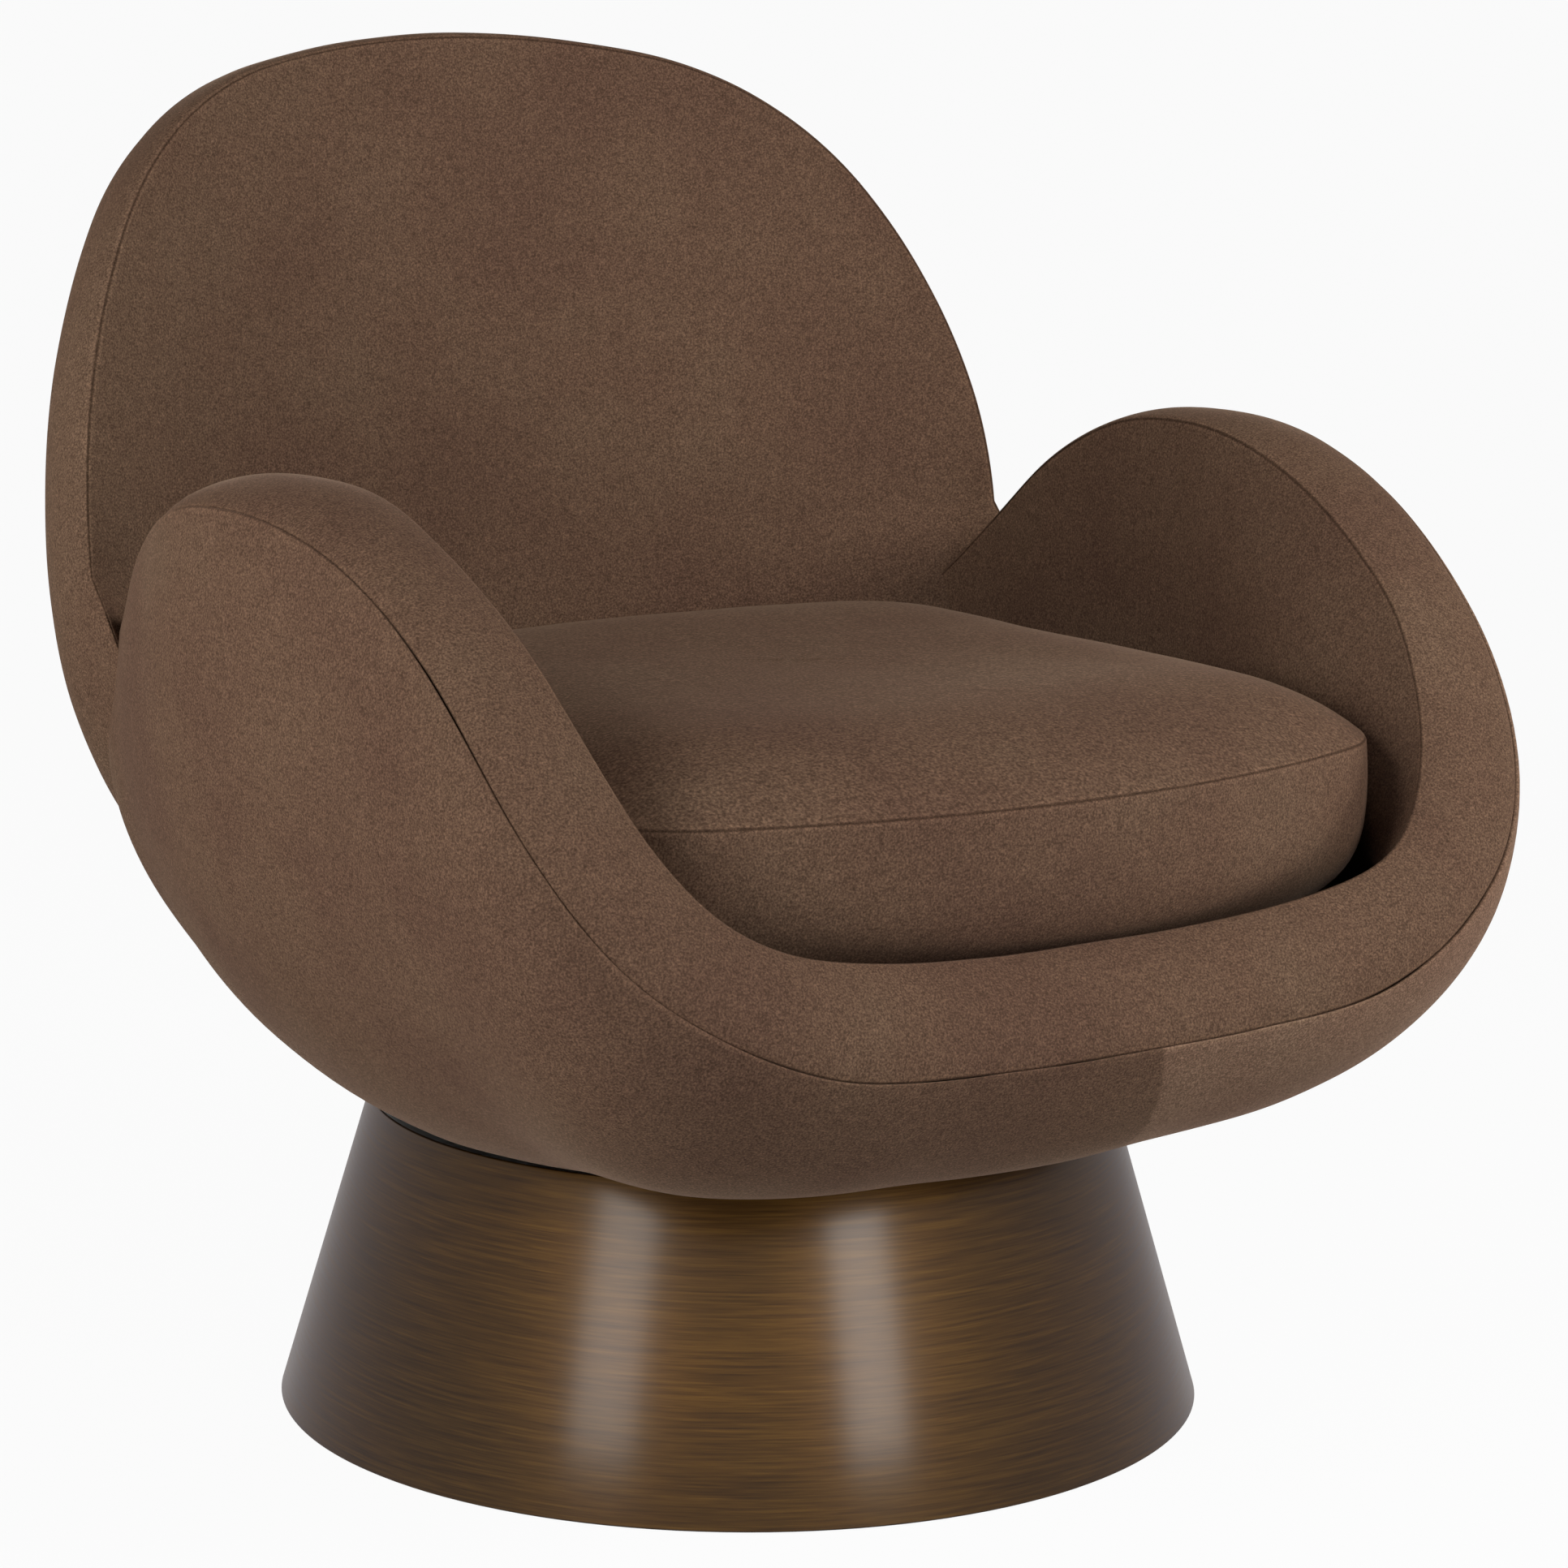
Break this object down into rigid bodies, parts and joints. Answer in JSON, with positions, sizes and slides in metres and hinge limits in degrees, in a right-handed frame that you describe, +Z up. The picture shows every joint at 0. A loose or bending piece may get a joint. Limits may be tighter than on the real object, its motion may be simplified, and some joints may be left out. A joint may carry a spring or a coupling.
{
  "type": "swivel lounge chair",
  "caption": "Low swivel lounge chair: upholstered bowl with petal-shaped arms, dished oval back, loose seat cushion, brushed conical pedestal.",
  "frame": {"origin": "on the floor at the centre of the pedestal, on the swivel axis", "axes": "+Z up, the chair faces -Y, +X is the sitter's left"},
  "size_m": [0.7674, 0.7622, 0.8076],
  "materials": {
    "bronze": "brushed horizontally, dark bronze tone",
    "felt": "pressed felt",
    "board": "plain plywood",
    "steel": "plain zinc-plated",
    "iron": "raw casting",
    "plastic": "moulded nylon",
    "webbing": "woven elastic webbing",
    "foam": "upholstery foam",
    "lining": "thin lining cloth",
    "upholstery": "short brushed nap with a soft sheen"
  },
  "bodies": {
    "pedestal": {"base_skirt": "bronze", "base_felt_pad": "felt", "base_bottom_plate": "board", "base_ballast": "iron", "base_posts": "steel", "base_post_screws": "steel", "base_top_plate": "steel", "swivel_lower_plate": "steel", "swivel_plate_screws": "steel", "swivel_ball_cage": "plastic", "swivel_balls": "steel", "swivel_pivot_pin": "steel"},
    "seat": {"swivel_upper_plate": "steel", "swivel_plate_bolts": "steel", "seat_platform": "board", "seat_riser_blocks": "board", "seat_front_rail": "board", "seat_rear_rail": "board", "seat_webbing": "webbing", "left_arm_panel": "board", "right_arm_panel": "board", "lip_board": "board", "lip_struts": "board", "back_panel": "board", "back_brackets": "board", "back_bolts": "steel", "bowl_foam": "foam", "bowl_outer_cover": "upholstery", "bowl_band": "upholstery", "bowl_inner_cover": "upholstery", "bowl_deck_cloth": "lining", "back_foam": "foam", "back_front_cover": "upholstery", "back_boxing": "upholstery", "back_rear_cover": "upholstery", "cushion_core": "foam", "cushion_top_panel": "upholstery", "cushion_boxing": "upholstery", "cushion_bottom_panel": "upholstery"}
  },
  "joints": [
    {"name": "swivel", "type": "hinge", "parent": "pedestal", "child": "seat", "pos_m": [0, 0, 0.193], "axis": [0, 0, 1], "continuous": true}
  ]
}
